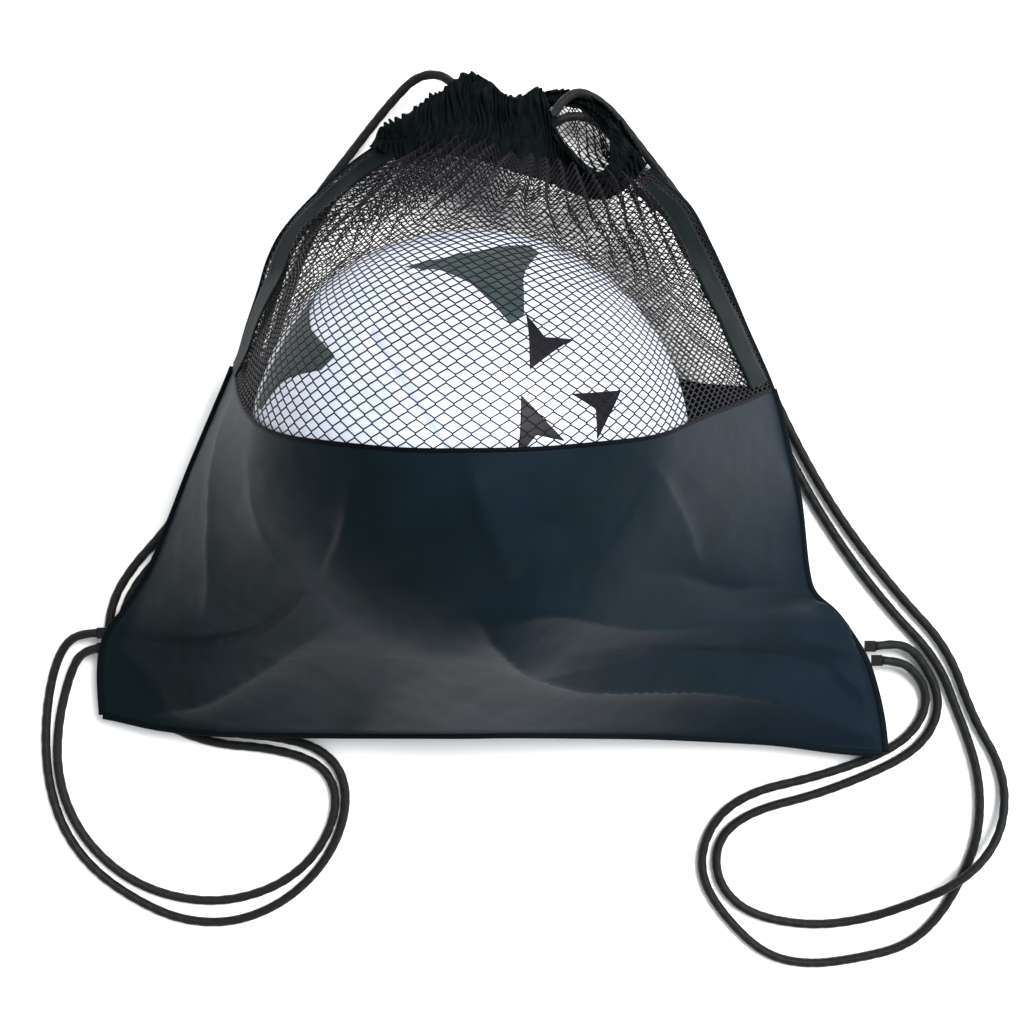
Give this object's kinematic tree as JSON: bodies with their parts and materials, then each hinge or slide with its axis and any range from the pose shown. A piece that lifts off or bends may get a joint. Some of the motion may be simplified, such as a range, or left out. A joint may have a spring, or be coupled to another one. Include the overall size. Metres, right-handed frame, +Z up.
{
  "type": "mesh ball bag",
  "caption": "Drawstring ball bag with a smooth nylon lower half and netting above, lying on its back, drawn closed on a ball, with looped cords.",
  "frame": {"origin": "on the surface the bag lies on, under the middle of the bag without its cords", "axes": "+Z up, +Y towards the drawn mouth, +X across the bag to the right as seen from above with the mouth away from the viewer"},
  "size_m": [0.5472, 0.5023, 0.2263],
  "materials": {
    "nylon": "smooth coated plain weave, slight sheen",
    "net": "warp-knitted netting of fine threads",
    "seam_tape": "rolled and sewn edge",
    "nylon_seam": "sewn and turned seam",
    "side_band": "woven tape",
    "casing": "gathered nylon hem",
    "drawcord": "braided polyester cord",
    "tack": "dense bar tack stitching",
    "ball_cover": "satin synthetic leather with dark printed panels",
    "ball_bladder": "matt",
    "ball_valve": "matt"
  },
  "bodies": {
    "bag": {"front_nylon_panel": "nylon", "back_nylon_panel": "nylon", "front_net_panel": "net", "back_net_panel": "net", "front_panel_seam": "seam_tape", "back_panel_seam": "seam_tape", "left_side_seam": "nylon_seam", "right_side_seam": "nylon_seam", "bottom_seam": "nylon_seam", "left_side_band": "side_band", "right_side_band": "side_band", "front_casing": "casing", "back_casing": "casing", "left_drawcord": "drawcord", "right_drawcord": "drawcord", "left_upper_tack": "tack", "left_lower_tack": "tack", "right_upper_tack": "tack", "right_lower_tack": "tack"},
    "ball": {"ball_cover": "ball_cover", "ball_bladder": "ball_bladder", "ball_valve": "ball_valve"}
  },
  "joints": [
    {"name": "ball_roll", "type": "hinge", "parent": "bag", "child": "ball", "pos_m": [-0.011, -0.012, 0.1121], "axis": [1, 0, 0], "continuous": true}
  ]
}
